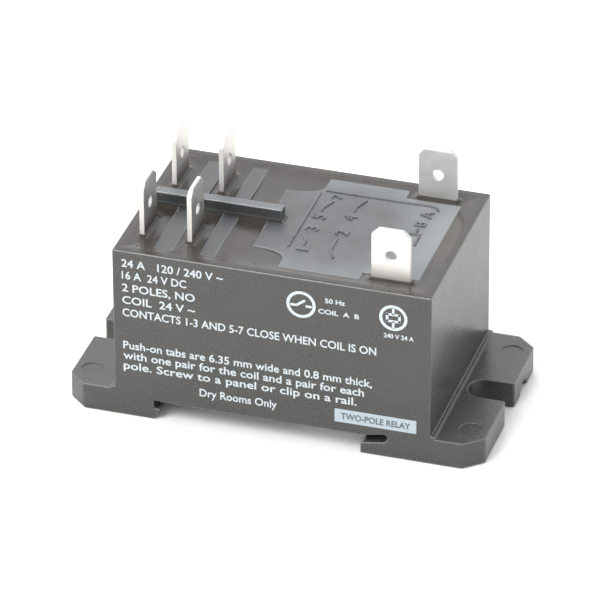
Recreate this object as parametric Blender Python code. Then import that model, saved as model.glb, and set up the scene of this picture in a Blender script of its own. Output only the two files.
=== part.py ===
"""Two-pole 30 A power relay in a housing that mounts on a panel or on a 35 mm rail.

The relay stands on its feet: +X runs along its length towards the coil terminals, +Y to its
rear side, +Z up through the terminal face. The origin is the centre of the underside.
"""

from math import cos, pi, radians, sin

import bmesh
import bpy
from mathutils import Matrix, Vector

mm = 0.001

# Clearances
seat_gap = 0.2 * mm  # between pieces that rest on each other
pour_gap = 0.1 * mm  # round what the sealing compound is poured against
slot_gap = 0.15 * mm  # round a terminal in its slot

# Housing
body_length = 52.4 * mm
body_width = 34.0 * mm
body_top = 30.4 * mm
rim_wall = 1.3 * mm
body_wall = 2.1 * mm
rim_depth = 3.5 * mm  # from the rim down to the inner ledge that the header rests on
floor_top = 5.35 * mm
rail_seat = 3.4 * mm  # ceiling of the rail channel, which the rail's flanges touch
half_length = body_length / 2
half_width = body_width / 2
ledge_height = body_top - rim_depth

# Mounting feet
foot_reach = 8.3 * mm
foot_top = 4.65 * mm
foot_step = 0.7 * mm  # a low ledge along the body's ends
foot_step_height = 0.35 * mm
foot_chamfer_x = 3.0 * mm
foot_chamfer_y = 2.65 * mm
screw_slot_width = 5.4 * mm
screw_slot_inset = 4.1 * mm  # from the body's end to the centre of the slot's round end
ejector_mark_radius = 1.85 * mm
ejector_mark_depth = 0.15 * mm
ejector_mark_inset_x = 5.25 * mm  # from the body's end
ejector_mark_inset_y = 4.8 * mm  # from the body's side
pry_notch_radius = 1.8 * mm
pry_notch_depth = 2.0 * mm
pry_notch_inset = 8.6 * mm  # from the body's rear side
foot_end = half_length + foot_reach

# Rail channel
rail_width = 35.0 * mm
hook_undercut_x = -19.7 * mm
hook_nose = 1.0 * mm
hook_lip_top = 2.05 * mm
hook_relief = 0.1 * mm
latch_hold = 0.65 * mm  # how far the latch's lip reaches under the rail's flange
latch_corner = 0.4 * mm
latch_top = 2.0 * mm
latch_slot_depth = 4.5 * mm
latch_slot_rise = 0.6 * mm  # the slot climbs this much, so that a rail tips into it
latch_slot_height = 1.45 * mm
latch_x = hook_undercut_x + rail_width - latch_hold

# Header, the moulded plate that carries the terminals
header_gap = 0.2 * mm
header_thickness = 1.8 * mm
island_drop = 0.1 * mm  # from the rim down to the islands' tops
seal_drop = 0.35 * mm  # from the rim down to the sealing compound
header_bottom = ledge_height + header_gap
header_top = header_bottom + header_thickness
island_top = body_top - island_drop
seal_top = body_top - seal_drop

# Terminals
tab_width = 6.35 * mm
tab_thickness = 0.8 * mm
tab_height = 9.2 * mm  # above the housing's rim
tab_corner = 1.2 * mm
tab_taper = 0.5 * mm  # length of the tapered tip
tab_tip_share = 0.7  # share of the thickness left at the tip
tab_hole_radius = 0.95 * mm
tab_hole_drop = 4.75 * mm  # from the tab's tip to the hole's centre
strip_thickness = 0.72 * mm  # of the strip below the tab, which is coined to its own thickness
shoulder_width = 7.4 * mm
shoulder_height = 1.2 * mm
tail_width = 6.0 * mm
common_inset = 3.2 * mm  # from the body's end
column_pitch = 7.9 * mm
pole_y = 8.2 * mm
coil_terminal_inset_x = 7.6 * mm
coil_terminal_inset_y = 3.8 * mm
coil_lug_width = 3.0 * mm
coil_lug_drop = 6.6 * mm  # from the header down to the lug's end
tab_top = body_top + tab_height
tab_foot = body_top + 0.2 * mm
tab_hole_height = tab_top - tab_hole_drop
common_x = common_inset - half_length
normally_open_x = common_x + column_pitch
coil_terminal_x = half_length - coil_terminal_inset_x
coil_terminal_y = half_width - coil_terminal_inset_y

# Raised islands, rib and inner barrier of the header
island_edge_y = half_width - rim_wall - 1.3 * mm
strip_spans = (
    (common_x + 2.8 * mm, common_x + 6.1 * mm),
    (normally_open_x + 2.4 * mm, normally_open_x + 5.1 * mm),
)
nameplate_left = normally_open_x + 9.7 * mm
nameplate_left_y = pole_y + 0.9 * mm
nameplate_sweep = 2.6 * mm
nameplate_wide_x = (nameplate_left + 5.7 * mm, coil_terminal_x - tab_width / 2 - 1.8 * mm)
nameplate_right = half_length - rim_wall - 2.1 * mm
nameplate_right_y = coil_terminal_y - 1.2 * mm
rib_span = (common_x - 1.4 * mm, nameplate_left + 2.3 * mm)
rib_thickness = 1.9 * mm
rib_top = body_top + 2.05 * mm
barrier_span = (common_x - 0.8 * mm, normally_open_x + 1.3 * mm)
barrier_thickness = 1.2 * mm
barrier_depth = 11.6 * mm

# Magnet
yoke_setback = 8.6 * mm  # from the normally open terminals to the yoke's upright leg
yoke_thickness = 2.0 * mm
yoke_length = 27.5 * mm
yoke_width = 18.0 * mm
yoke_foot = 10.0 * mm  # lower end of the upright leg, where the armature rocks
yoke_bend_radius = 1.6 * mm
core_radius = 4.3 * mm
tenon_radius = 3.0 * mm
pole_shoe_radius = 5.5 * mm
pole_shoe_height = 1.2 * mm
pole_face = 9.95 * mm
ring_width = 0.9 * mm
ring_height = 0.9 * mm
ring_outer_radius = 4.7 * mm
ring_chord_x = -1.0 * mm  # the ring's straight side, from the core's axis
groove_gap = 0.15 * mm
bobbin_wall = 0.8 * mm
flange_radius = 11.6 * mm
flange_thickness = 1.0 * mm
winding_depth = 1.0 * mm  # from the flange's rim in to the winding
tape_thickness = 0.35 * mm
stake_radius = 1.0 * mm
stake_head_radius = 1.5 * mm
stake_head_height = 0.7 * mm
stake_angle = radians(33.7)  # round the core's axis, from the X axis
stake_gap = 0.24 * mm  # from a stake's head to the bobbin's flange
yoke_left = normally_open_x + yoke_setback
yoke_right = yoke_left + yoke_length
yoke_top = header_bottom - seat_gap
yoke_under = yoke_top - yoke_thickness
coil_x = yoke_left + yoke_thickness + flange_radius + 1.4 * mm
winding_radius = flange_radius - winding_depth
stake_distance = flange_radius + stake_head_radius + stake_gap

# Armature, modelled closed and then opened about its hinge
open_angle = radians(6.0)
hinge_drop = 0.1 * mm  # from the yoke's foot to the line that the armature rocks on
armature_thickness = 1.8 * mm
armature_gap = 0.15 * mm  # left at the pole face when closed
armature_reach = 6.5 * mm  # past the core's axis
armature_width = 15.0 * mm
armature_corner = 2.5 * mm
tail_half_width = 6.0 * mm
carrier_length = 4.6 * mm
carrier_width = 24.0 * mm
carrier_height = 2.0 * mm
carrier_notch_half = 1.9 * mm
carrier_lip = 0.3 * mm  # the carrier stands this far out past the blades
carrier_rivet_inset = 2.6 * mm  # from the carrier's end
carrier_rivet_y = 3.4 * mm
hinge_x = yoke_left
hinge_z = yoke_foot - hinge_drop

# Contacts
contact_drop = 5.6 * mm  # from the header down to the contacts' centres
contact_air = 0.1 * mm  # left between the contact faces when closed
fixed_contact_height = 0.7 * mm
moving_contact_height = 0.8 * mm
contact_radius = 2.2 * mm
contact_shank = 1.0 * mm
terminal_tail_margin = 3.2 * mm  # from the contacts' centres to the normally open terminals' ends
blade_thickness = 0.5 * mm
blade_width = 6.0 * mm
blade_margin = 2.7 * mm  # from the contacts' centres to the blades' upper ends
blade_foot_length = 3.9 * mm
backstop_thickness = 2.5 * mm
backstop_width = 3.4 * mm
backstop_overlap = 0.5 * mm  # how far a backstop reaches down beside its blade
backstop_gap = 0.12 * mm  # left behind the open blade
contact_height = header_bottom - contact_drop
blade_top = contact_height + blade_margin
normally_open_tail_end = contact_height - terminal_tail_margin
fixed_face = normally_open_x + tab_thickness / 2 + pour_gap + fixed_contact_height
blade_left = fixed_face + contact_air + moving_contact_height + pour_gap
carrier_left = blade_left - carrier_lip
carrier_right = carrier_left + carrier_length
tail_left = carrier_left + 1.2 * mm
rivet_x = carrier_left + carrier_rivet_inset

# Rivets
rivet_shank = 0.8 * mm
rivet_head_radius = 1.3 * mm
rivet_head_height = 0.6 * mm

# Return spring
spring_wire_radius = 0.25 * mm
spring_coil_radius = 1.5 * mm
spring_turns = 8
spring_hole_radius = 0.75 * mm
spring_lug_reach = 3.4 * mm
spring_lug_thickness = 0.8 * mm
spring_lug_width = 3.0 * mm
spring_lug_drop = 6.1 * mm  # from the header down to the lug's underside
spring_x = hinge_x - 2.2 * mm
spring_lug_height = header_bottom - spring_lug_drop

# Leads
braid_radius = 0.9 * mm
braid_height = 14.9 * mm  # where a braid meets its blade
coil_lead_radius = 0.4 * mm
common_tail_end = braid_height + 0.1 * mm

# Rail spring, a leaf under the floor whose nose bears on the rail
leaf_thickness = 0.35 * mm
leaf_margin = 2.2 * mm  # from the body's sides
leaf_left = 3.0 * mm
leaf_nose_inset = 0.65 * mm  # from the latch to the nose
leaf_nose_run = 2.4 * mm  # from the bend to the nose
leaf_tip_run = 1.3 * mm
leaf_nose_z = 2.15 * mm
leaf_tip_z = 3.15 * mm
leaf_air = 0.1 * mm  # between the leaf's flat and the channel's ceiling line
leaf_pocket_top = 4.65 * mm
leaf_pocket_gap = 0.7 * mm
leaf_rivet_inset = 2.0 * mm  # from the leaf's end
leaf_rivet_shank = 0.9 * mm
leaf_rivet_head = 1.6 * mm
leaf_nose_x = latch_x - leaf_nose_inset
leaf_bend_x = leaf_nose_x - leaf_nose_run
leaf_tip_x = leaf_nose_x + leaf_tip_run
leaf_rivet_x = leaf_left + leaf_rivet_inset
leaf_width = body_width - 2 * leaf_margin

sides = (("front", -1), ("rear", 1))


# Shape helpers ------------------------------------------------------------------------------


def quarter_turn(steps):
    """Angles from 0 to a right angle, both included."""
    return [pi / 2 * i / steps for i in range(steps + 1)]


def arc(centre, radius, start, end, steps):
    """Points on an arc, in degrees, both ends included."""
    turns = [radians(start + (end - start) * i / steps) for i in range(steps + 1)]
    return [(centre[0] + radius * cos(a), centre[1] + radius * sin(a)) for a in turns]


def prism(outline, axis, low, high):
    """A bmesh of an outline pushed along an axis. The outline lies in the other two axes, in XYZ order."""
    bm = bmesh.new()
    place = {
        "X": lambda u, v: (low, u, v),
        "Y": lambda u, v: (u, low, v),
        "Z": lambda u, v: (u, v, low),
    }[axis]
    face = bm.faces.new([bm.verts.new(place(u, v)) for u, v in outline])
    pushed = bmesh.ops.extrude_face_region(bm, geom=[face])["geom"]
    step = Vector([(high - low) * (letter == axis) for letter in "XYZ"])
    bmesh.ops.translate(bm, vec=step, verts=[g for g in pushed if isinstance(g, bmesh.types.BMVert)])
    bmesh.ops.recalc_face_normals(bm, faces=bm.faces)
    return bm


def block(x, y, z):
    """A bmesh box between pairs of limits."""
    return prism([(x[0], y[0]), (x[1], y[0]), (x[1], y[1]), (x[0], y[1])], "Z", z[0], z[1])


def lathe(profile, steps=32, closed=False):
    """A bmesh turned about Z from (radius, height) points. An open profile starts and ends on the axis."""
    bm = bmesh.new()
    verts = [bm.verts.new((r, 0, h)) for r, h in profile]
    pairs = list(zip(verts, verts[1:])) + ([(verts[-1], verts[0])] if closed else [])
    edges = [bm.edges.new(pair) for pair in pairs]
    bmesh.ops.spin(
        bm, geom=verts + edges, cent=(0, 0, 0), axis=(0, 0, 1), angle=2 * pi, steps=steps, use_merge=True
    )
    bmesh.ops.remove_doubles(bm, verts=bm.verts, dist=1e-7)
    bmesh.ops.recalc_face_normals(bm, faces=bm.faces)
    return bm


def rod(radius, low, high, steps=24):
    """A bmesh cylinder about Z."""
    return lathe([(0, low), (radius, low), (radius, high), (0, high)], steps)


def add(name, bm, material=None, location=(0, 0, 0), parent=None, smooth=False):
    """Turns a bmesh into an object. One with no material is a helper that never shows."""
    mesh = bpy.data.meshes.new(name)
    bm.to_mesh(mesh)
    bm.free()
    obj = bpy.data.objects.new(name, mesh)
    bpy.context.scene.collection.objects.link(obj)
    obj.location = location
    obj.parent = parent
    if material:
        mesh.materials.append(material)
    else:
        obj.hide_render = True
        obj.display_type = "WIRE"
    if smooth:
        mesh.shade_smooth()
        mesh.set_sharp_from_angle(angle=radians(35))
    return obj


def combine(obj, operation, bm, location=(0, 0, 0)):
    """Cuts a bmesh from an object, or joins it on. The helper shares the object's parent."""
    helper = add(f"{obj.name}_{operation.lower()}_{len(obj.modifiers)}", bm, None, location, obj.parent)
    modifier = obj.modifiers.new(helper.name, "BOOLEAN")
    modifier.operation = operation
    modifier.object = helper
    modifier.solver = "EXACT"
    return obj


def cut(obj, bm, location=(0, 0, 0)):
    return combine(obj, "DIFFERENCE", bm, location)


def join(obj, bm, location=(0, 0, 0)):
    return combine(obj, "UNION", bm, location)


def solidified(obj):
    """The object's mesh with its modifiers applied, for pieces that are made once and repeated."""
    bpy.context.view_layer.update()
    graph = bpy.context.evaluated_depsgraph_get()
    mesh = bpy.data.meshes.new_from_object(obj.evaluated_get(graph))
    obj.modifiers.clear()
    obj.data = mesh
    return mesh


def copy_of(obj, name, location, turn=0.0):
    """Another object on the same mesh, turned about Z."""
    twin = bpy.data.objects.new(name, obj.data)
    bpy.context.scene.collection.objects.link(twin)
    twin.parent = obj.parent
    twin.location = location
    twin.rotation_euler.z = turn
    return twin


def smooth_route(points, steps):
    """Points along a Catmull-Rom curve through a route, so that a lead bends without corners."""
    route = [Vector(p) for p in points]
    route = [2 * route[0] - route[1], *route, 2 * route[-1] - route[-2]]
    found = []
    for a, b, c, d in zip(route, route[1:], route[2:], route[3:]):
        for i in range(steps):
            t = i / steps
            square, cube = 2 * a - 5 * b + 4 * c - d, 3 * b - a - 3 * c + d
            found.append(0.5 * (2 * b + (c - a) * t + square * t**2 + cube * t**3))
    return [*found, route[-2]]


def wire(name, points, radius, material, parent=None, rings=2):
    """A round wire along points."""
    curve = bpy.data.curves.new(name, "CURVE")
    curve.dimensions = "3D"
    curve.bevel_depth = radius
    curve.bevel_resolution = rings
    curve.use_fill_caps = True
    spline = curve.splines.new("POLY")
    spline.points.add(len(points) - 1)
    for slot, point in zip(spline.points, points):
        slot.co = (*point, 1)
    curve.materials.append(material)
    obj = bpy.data.objects.new(name, curve)
    bpy.context.scene.collection.objects.link(obj)
    obj.parent = parent
    return obj


def finish(name, colour, roughness, metallic=0.0):
    material = bpy.data.materials.new(name)
    material.use_nodes = True
    shader = material.node_tree.nodes["Principled BSDF"]
    shader.inputs["Base Color"].default_value = (*colour, 1)
    shader.inputs["Roughness"].default_value = roughness
    shader.inputs["Metallic"].default_value = metallic
    return material


# Housing ------------------------------------------------------------------------------------


def foot_outline():
    """The octagonal plan of the housing's base, with its four corners cut off."""
    x, y = foot_end, half_width
    cx, cy = foot_chamfer_x, foot_chamfer_y
    quarter = [(x, y - cy), (x - cx, y)]
    return [
        *quarter,
        *[(-u, v) for u, v in reversed(quarter)],
        *[(-u, -v) for u, v in quarter],
        *[(u, -v) for u, v in reversed(quarter)],
    ]


def channel_outline():
    """The rail channel's section: a fixed hook at the left and a climbing slot at the right."""
    below = -1.0 * mm
    slot_end = latch_x + latch_slot_depth
    slot_in = latch_x + latch_corner
    slot_floor_end = latch_top + latch_slot_rise
    blunt = latch_slot_height / 3
    return [
        (hook_undercut_x, below),
        (hook_undercut_x, 0),
        (hook_undercut_x + hook_nose, hook_lip_top - 0.35 * mm),
        (hook_undercut_x + hook_nose, hook_lip_top),
        (hook_undercut_x, hook_lip_top),
        (hook_undercut_x, rail_seat + hook_relief),
        (hook_undercut_x + hook_nose + hook_relief, rail_seat + hook_relief),
        (hook_undercut_x + hook_nose + hook_relief, rail_seat),
        (slot_in, rail_seat),
        (slot_end - blunt, slot_floor_end + latch_slot_height),
        (slot_end, slot_floor_end + latch_slot_height - blunt),
        (slot_end, slot_floor_end + blunt),
        (slot_end - blunt, slot_floor_end),
        (slot_in, latch_top),
        (latch_x, latch_top - latch_corner),
        (latch_x, below),
    ]


def screw_slot(side):
    """The open-ended slot in one foot."""
    centre = side * (half_length + screw_slot_inset)
    radius = screw_slot_width / 2
    outer = side * (foot_end + 1 * mm)
    start = 90 if side > 0 else -90
    mouth = [(outer, -side * radius), (outer, side * radius)]
    return [*arc((centre, 0), radius, start, start + 180, 12), *mouth]


def make_housing(material):
    housing = add("housing", prism(foot_outline(), "Z", 0, foot_top), material)
    full = (-half_length, half_length), (-half_width, half_width)
    join(housing, block(*full, (rail_seat / 2, body_top)))
    ledge_x = half_length + foot_step
    join(housing, block((-ledge_x, ledge_x), full[1], (rail_seat / 2, foot_top + foot_step_height)))
    inner_x, inner_y = half_length - body_wall, half_width - body_wall
    cut(housing, block((-inner_x, inner_x), (-inner_y, inner_y), (floor_top, body_top + 1 * mm)))
    rim_x, rim_y = half_length - rim_wall, half_width - rim_wall
    cut(housing, block((-rim_x, rim_x), (-rim_y, rim_y), (ledge_height, body_top + 1 * mm)))
    over = half_width + 1 * mm
    cut(housing, prism(channel_outline(), "Y", -over, over))
    pocket_x = (leaf_left - leaf_pocket_gap, leaf_tip_x + leaf_pocket_gap)
    pocket_y = leaf_width / 2 + leaf_pocket_gap
    cut(housing, block(pocket_x, (-pocket_y, pocket_y), (rail_seat - 0.5 * mm, leaf_pocket_top)))
    cut(housing, rod(leaf_rivet_shank + seat_gap, rail_seat, floor_top + 1 * mm), (leaf_rivet_x, 0, 0))
    for side in (-1, 1):
        cut(housing, prism(screw_slot(side), "Z", -1 * mm, foot_top + 1 * mm))
        for end in (-1, 1):
            mark = rod(ejector_mark_radius, foot_top - ejector_mark_depth, foot_top + 1 * mm)
            mark_x, mark_y = half_length + ejector_mark_inset_x, half_width - ejector_mark_inset_y
            cut(housing, mark, (side * mark_x, end * mark_y, 0))
    notch = rod(pry_notch_radius, foot_end - pry_notch_depth, foot_end + 1 * mm)
    notch.transform(Matrix.Rotation(pi / 2, 4, "Y"))
    cut(housing, notch, (0, half_width - pry_notch_inset, 0))
    return housing


# Header and seal ----------------------------------------------------------------------------


def nameplate_outline(grow=0.0):
    """The large raised island: narrow at its left end, swept out to full width, and stepped in again
    beside the coil terminals."""
    wide_low, wide_high = nameplate_wide_x
    run, sweep = wide_low - nameplate_left, nameplate_sweep
    curve = [
        (nameplate_left + run * sin(a), nameplate_left_y + sweep * (1 - cos(a))) for a in quarter_turn(5)
    ]
    half = [
        *[(x - grow, y + grow) for x, y in curve],
        (wide_low - grow, island_edge_y + grow),
        (wide_high + grow, island_edge_y + grow),
        (wide_high + grow, nameplate_right_y + grow),
        (nameplate_right + grow, nameplate_right_y + grow),
    ]
    return half + [(x, -y) for x, y in reversed(half)]


def rectangle(x, y, grow=0.0):
    return [
        (x[0] - grow, y[0] - grow),
        (x[1] + grow, y[0] - grow),
        (x[1] + grow, y[1] + grow),
        (x[0] - grow, y[1] + grow),
    ]


def terminal_places():
    """Each terminal's name, centre, and whether its blade faces along X (True) or Y."""
    found = []
    for name, side in sides:
        found.append((f"common_terminal_{name}", common_x, side * pole_y, True))
        found.append((f"normally_open_terminal_{name}", normally_open_x, side * pole_y, True))
        found.append((f"coil_terminal_{name}", coil_terminal_x, side * coil_terminal_y, False))
    return found


def terminal_slot(x, y, faces_x, gap):
    thick, wide = tab_thickness / 2 + gap, tab_width / 2 + gap
    across, along = (thick, wide) if faces_x else (wide, thick)
    return rectangle((x - across, x + across), (y - along, y + along))


def stake_places():
    x, y = stake_distance * cos(stake_angle), stake_distance * sin(stake_angle)
    return [(coil_x + a * x, b * y) for a in (-1, 1) for b in (-1, 1)]


def opened_blade_x():
    """Where the right side of a contact blade's upper end comes to when the armature is open."""
    reach_x, reach_z = blade_left + blade_thickness - hinge_x, blade_top - hinge_z
    return hinge_x + reach_x * cos(open_angle) + reach_z * sin(open_angle)


def make_header(material):
    edge_x, edge_y = half_length - rim_wall - header_gap, half_width - rim_wall - header_gap
    plate = block((-edge_x, edge_x), (-edge_y, edge_y), (header_bottom, header_top))
    header = add("header", plate, material)
    sunk = header_top - header_thickness / 2
    join(header, prism(nameplate_outline(), "Z", sunk, island_top))
    for span in strip_spans:
        join(header, prism(rectangle(span, (-island_edge_y, island_edge_y)), "Z", sunk, island_top))
    rib = rectangle(rib_span, (-rib_thickness / 2, rib_thickness / 2))
    join(header, prism(rib, "Z", sunk, rib_top))
    barrier = rectangle(barrier_span, (-barrier_thickness / 2, barrier_thickness / 2))
    join(header, prism(barrier, "Z", header_bottom - barrier_depth, sunk))
    stop_x = (opened_blade_x() + backstop_gap, opened_blade_x() + backstop_gap + backstop_thickness)
    for _, side in sides:
        stop_y = (side * pole_y - backstop_width / 2, side * pole_y + backstop_width / 2)
        join(header, block(stop_x, stop_y, (blade_top - backstop_overlap, sunk)))
    head_top = yoke_under - seat_gap
    head = [(0, head_top - stake_head_height), (stake_head_radius * 0.7, head_top - stake_head_height)]
    head += [(stake_head_radius, head_top - stake_head_height / 2), (stake_head_radius, head_top)]
    for x, y in stake_places():
        join(header, lathe([*head, (stake_radius, head_top), (stake_radius, sunk), (0, sunk)], 16), (x, y, 0))
    for _, x, y, faces_x in terminal_places():
        slot = terminal_slot(x, y, faces_x, slot_gap)
        cut(header, prism(slot, "Z", header_bottom - 1 * mm, island_top + 1 * mm))
    return header


def make_seal(material):
    edge_x, edge_y = half_length - rim_wall - pour_gap, half_width - rim_wall - pour_gap
    low = header_top + pour_gap
    seal = add("epoxy_seal", block((-edge_x, edge_x), (-edge_y, edge_y), (low, seal_top)), material)
    under, over = low - 1 * mm, seal_top + 1 * mm
    cut(seal, prism(nameplate_outline(pour_gap), "Z", under, over))
    for span in strip_spans:
        cut(seal, prism(rectangle(span, (-island_edge_y, island_edge_y), pour_gap), "Z", under, over))
    rib = rectangle(rib_span, (-rib_thickness / 2, rib_thickness / 2), pour_gap)
    cut(seal, prism(rib, "Z", under, over))
    for _, x, y, faces_x in terminal_places():
        cut(seal, prism(terminal_slot(x, y, faces_x, pour_gap), "Z", under, over))
    return seal


# Terminals ----------------------------------------------------------------------------------


def tab_shape():
    """The coined tab, with chamfered corners and a short taper at its tip."""
    wide, thick = tab_width / 2, tab_thickness / 2
    levels = [
        (tab_foot, wide, thick),
        (tab_top - tab_corner, wide, thick),
        (tab_top - tab_taper, wide - tab_corner + tab_taper, thick),
        (tab_top, wide - tab_corner, thick * tab_tip_share),
    ]
    bm = bmesh.new()
    corners = ((1, 1), (-1, 1), (-1, -1), (1, -1))
    loops = [[bm.verts.new((a * x, b * y, z)) for a, b in corners] for z, y, x in levels]
    bm.faces.new(loops[0])
    bm.faces.new(loops[-1])
    for low, high in zip(loops, loops[1:]):
        for i in range(4):
            bm.faces.new((low[i - 1], low[i], high[i], high[i - 1]))
    bmesh.ops.recalc_face_normals(bm, faces=bm.faces)
    return bm


def make_terminal(name, material, tail_end, tail_half, rivet_hole=None):
    """A blade whose flat faces X: the tab, on a thinner strip with a shoulder and a tail."""
    shoulder_top = header_bottom - seat_gap
    shoulder_low = shoulder_top - shoulder_height
    root_top = tab_foot + 1 * mm
    root_half = tab_width / 2 - 0.5 * mm
    right = [
        (tail_half, tail_end),
        (tail_half, shoulder_low),
        (shoulder_width / 2, shoulder_low),
        (shoulder_width / 2, shoulder_top),
        (tab_width / 2, shoulder_top),
        (tab_width / 2, tab_foot),
        (root_half, tab_foot),
        (root_half, root_top),
    ]
    outline = [*right, *[(-y, z) for y, z in reversed(right)]]
    terminal = add(name, prism(outline, "X", -strip_thickness / 2, strip_thickness / 2), material)
    join(terminal, tab_shape())
    cut(terminal, across(rod(tab_hole_radius, -1 * mm, 1 * mm, 20)), (0, 0, tab_hole_height))
    if rivet_hole:
        cut(terminal, across(rod(rivet_hole, -1 * mm, 1 * mm, 20)), (0, 0, contact_height))
    solidified(terminal)
    return terminal


def across(bm):
    """Turns a shape made about Z so that it points along X."""
    bm.transform(Matrix.Rotation(pi / 2, 4, "Y"))
    return bm


def make_terminals(material):
    common = make_terminal("common_terminal_front", material, common_tail_end, tail_width / 2)
    common.location = (common_x, -pole_y, 0)
    copy_of(common, "common_terminal_rear", (common_x, pole_y, 0))
    name, hole = "normally_open_terminal_front", contact_shank + slot_gap
    fixed = make_terminal(name, material, normally_open_tail_end, tail_width / 2, hole)
    fixed.location = (normally_open_x, -pole_y, 0)
    copy_of(fixed, "normally_open_terminal_rear", (normally_open_x, pole_y, 0))
    lug_end = header_bottom - coil_lug_drop
    coil = make_terminal("coil_terminal_front", material, lug_end, coil_lug_width / 2)
    coil.location = (coil_terminal_x, -coil_terminal_y, 0)
    coil.rotation_euler.z = pi / 2
    copy_of(coil, "coil_terminal_rear", (coil_terminal_x, coil_terminal_y, 0), pi / 2)


def rivet(grip, shank, head, head_height, tail, tail_height, steps=24):
    """A rivet about Z: its head above the grip, its upset tail below, with the grip centred on zero."""
    top, low = grip / 2, -grip / 2
    rounding = head_height * 0.4
    return lathe(
        [
            (0, low - tail_height),
            (tail, low - tail_height),
            (tail, low),
            (shank, low),
            (shank, top),
            (head, top),
            (head, top + head_height - rounding),
            (head - rounding, top + head_height),
            (0, top + head_height),
        ],
        steps,
    )


def make_fixed_contacts(material):
    """Each is riveted through a terminal's tail, with its face towards +X."""
    grip = tab_thickness + 2 * pour_gap
    shape = rivet(grip, contact_shank, contact_radius, fixed_contact_height, 1.5 * mm, 0.4 * mm)
    contact = add("fixed_contact_front", across(shape), material, smooth=True)
    contact.location = (normally_open_x, -pole_y, contact_height)
    copy_of(contact, "fixed_contact_rear", (normally_open_x, pole_y, contact_height))


# Magnet -------------------------------------------------------------------------------------


def make_yoke(material):
    outer, inner = yoke_bend_radius, 0.4 * mm
    left, right = yoke_left, yoke_left + yoke_thickness
    outline = [
        (left, yoke_foot),
        (right, yoke_foot),
        *arc((right + inner, yoke_under - inner), inner, 180, 90, 3),
        (yoke_right, yoke_under),
        (yoke_right, yoke_top),
        *arc((left + outer, yoke_top - outer), outer, 90, 180, 6),
    ]
    yoke = add("yoke", prism(outline, "Y", -yoke_width / 2, yoke_width / 2), material)
    lug_x = (left - spring_lug_reach, left + yoke_thickness / 2)
    lug_y = (-spring_lug_width / 2, spring_lug_width / 2)
    join(yoke, block(lug_x, lug_y, (spring_lug_height, spring_lug_height + spring_lug_thickness)))
    hook_hole = rod(spring_hole_radius, spring_lug_height - 1 * mm, spring_lug_height + 2 * mm, 16)
    cut(yoke, hook_hole, (spring_x, 0, 0))
    under, over = yoke_under - 1 * mm, yoke_top + 1 * mm
    cut(yoke, rod(tenon_radius + slot_gap, under, over), (coil_x, 0, 0))
    for x, y in stake_places():
        cut(yoke, rod(stake_radius + seat_gap, under, over, 16), (x, y, 0))
    return yoke


def ring_outline(outward, inward):
    """The shading ring's D-shaped loop as an outer and an inner outline, each grown or shrunk."""
    loops = []
    for radius, chord in (
        (ring_outer_radius + outward, ring_chord_x - outward),
        (ring_outer_radius - ring_width - inward, ring_chord_x + ring_width + inward),
    ):
        reach = (radius**2 - chord**2) ** 0.5
        half_turn = Vector((1, 0)).angle_signed(Vector((chord, reach)))
        turn = abs(half_turn) * 180 / pi
        loops.append(arc((0, 0), radius, -turn, turn, 18))
    return loops


def make_core(material, shade_material):
    shoe_top = pole_face + pole_shoe_height
    profile = [
        (0, pole_face),
        (pole_shoe_radius, pole_face),
        (pole_shoe_radius, shoe_top),
        (core_radius, shoe_top),
        (core_radius, yoke_under - seat_gap),
        (tenon_radius, yoke_under - seat_gap),
        (tenon_radius, yoke_top - pour_gap),
        (0, yoke_top - pour_gap),
    ]
    core = add("core", lathe(profile), material, (coil_x, 0, 0), smooth=True)
    outer, inner = ring_outline(groove_gap, groove_gap)
    groove = add("groove_shape", prism(outer, "Z", pole_face - 1 * mm, pole_face + ring_height + groove_gap))
    cut(groove, prism(inner, "Z", pole_face - 2 * mm, pole_face + 2 * mm))
    solidified(groove)
    groove.location = (coil_x, 0, 0)
    modifier = core.modifiers.new("groove", "BOOLEAN")
    modifier.operation = "DIFFERENCE"
    modifier.object = groove
    outer, inner = ring_outline(0, 0)
    ring = add("shading_ring", prism(outer, "Z", pole_face, pole_face + ring_height), shade_material)
    cut(ring, prism(inner, "Z", pole_face - 1 * mm, pole_face + 2 * mm))
    solidified(ring)
    ring.location = (coil_x, 0, 0)


def make_coil(bobbin_material, copper, tape_material):
    low = pole_face + pole_shoe_height + seat_gap
    high = yoke_under - seat_gap
    bore = core_radius + seat_gap
    barrel = bore + bobbin_wall
    spool = [
        (bore, low),
        (flange_radius, low),
        (flange_radius, low + flange_thickness),
        (barrel, low + flange_thickness),
        (barrel, high - flange_thickness),
        (flange_radius, high - flange_thickness),
        (flange_radius, high),
        (bore, high),
    ]
    add("bobbin", lathe(spool, closed=True), bobbin_material, (coil_x, 0, 0), smooth=True)
    inside = low + flange_thickness + seat_gap, high - flange_thickness - seat_gap
    for name, radii, material in (
        ("coil_winding", (barrel + seat_gap, winding_radius), copper),
        ("coil_tape", (winding_radius + seat_gap, winding_radius + seat_gap + tape_thickness), tape_material),
    ):
        ring = [(radii[0], inside[0]), (radii[1], inside[0]), (radii[1], inside[1]), (radii[0], inside[1])]
        add(name, lathe(ring, 40, closed=True), material, (coil_x, 0, 0), smooth=True)


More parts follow.
